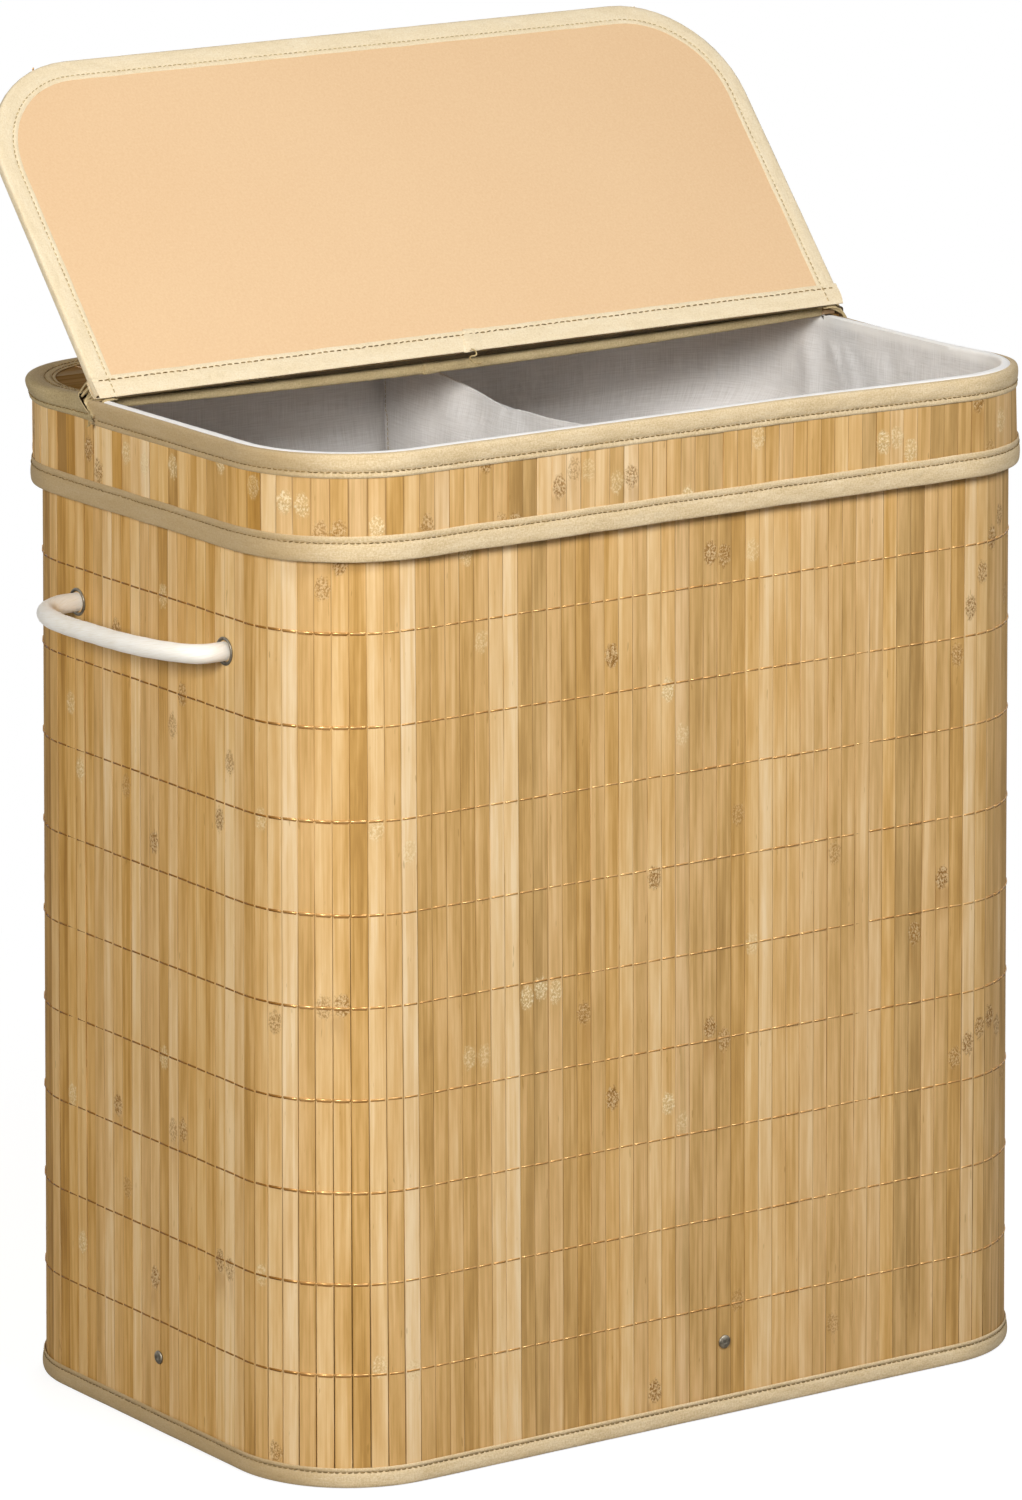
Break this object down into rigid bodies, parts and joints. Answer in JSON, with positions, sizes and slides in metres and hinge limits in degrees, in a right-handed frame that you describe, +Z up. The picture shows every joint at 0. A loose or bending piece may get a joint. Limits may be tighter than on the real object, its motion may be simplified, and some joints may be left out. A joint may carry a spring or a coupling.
{
  "type": "laundry hamper with two bins",
  "caption": "Oblong bamboo slat hamper with a divided cotton bag, a lift-off lid band with a hinged flap and rope handles.",
  "frame": {"origin": "middle of the body's underside, on the floor", "axes": "+Z up, +X along the long side towards the hamper's own left as it faces -Y, +Y towards the back, where the lid's hinge strip is"},
  "size_m": [0.6414, 0.3888, 0.8097],
  "materials": {
    "bamboo": "satin natural bamboo",
    "tape": "woven beige tape",
    "board": "matt board",
    "lining": "smooth tan facing",
    "cotton": "plain cotton",
    "rope": "smooth white cotton rope",
    "steel": "plated steel"
  },
  "bodies": {
    "body": {"wall_slats": "bamboo", "wall_backing": "board", "wall_top_binding": "tape", "bottom_binding": "tape", "base_panel": "board", "base_tab_front": "tape", "base_tab_rear": "tape", "base_tab_left": "tape", "base_tab_right": "tape", "rivet_washer_front": "steel", "rivet_washer_rear": "steel", "rivet_washer_left": "steel", "rivet_washer_right": "steel", "rivet_front": "steel", "rivet_rear": "steel", "rivet_left": "steel", "rivet_right": "steel", "eyelet_washer_left_front": "steel", "eyelet_washer_left_rear": "steel", "eyelet_washer_right_front": "steel", "eyelet_washer_right_rear": "steel", "eyelet_left_front": "steel", "eyelet_left_rear": "steel", "eyelet_right_front": "steel", "eyelet_right_rear": "steel", "rope_end_left_front": "rope", "rope_end_left_rear": "rope", "rope_end_right_front": "rope", "rope_end_right_rear": "rope", "liner_hook_strip": "tape", "liner_bag": "cotton", "liner_divider": "cotton"},
    "lid": {"band_slats": "bamboo", "band_backing": "board", "band_lower_binding": "tape", "front_rim_binding": "tape", "rear_rim_binding": "tape", "rear_panel_lining": "lining", "rear_panel_board": "board", "rear_panel_slats": "bamboo", "rear_panel_binding": "tape"},
    "flap": {"flap_lining": "lining", "flap_board": "board", "flap_slats": "bamboo", "flap_edge_binding": "tape", "flap_hinge_binding": "tape"},
    "left_handle": {"rope_left": "rope"},
    "right_handle": {"rope_right": "rope"}
  },
  "joints": [
    {"name": "lid_lift", "type": "slide", "parent": "body", "child": "lid", "axis": [0, 0, 1], "range_m": [0, 0.12]},
    {"name": "flap_hinge", "type": "hinge", "parent": "lid", "child": "flap", "pos_m": [0, 0.0497, 0.63135], "axis": [1, 0, 0], "range_deg": [0, 131]},
    {"name": "left_handle_swing", "type": "hinge", "parent": "body", "child": "left_handle", "pos_m": [-0.2835, 0, 0.501], "axis": [0, 1, 0], "range_deg": [0, 80]},
    {"name": "right_handle_swing", "type": "hinge", "parent": "body", "child": "right_handle", "pos_m": [0.2835, 0, 0.501], "axis": [0, -1, 0], "range_deg": [0, 80]}
  ]
}
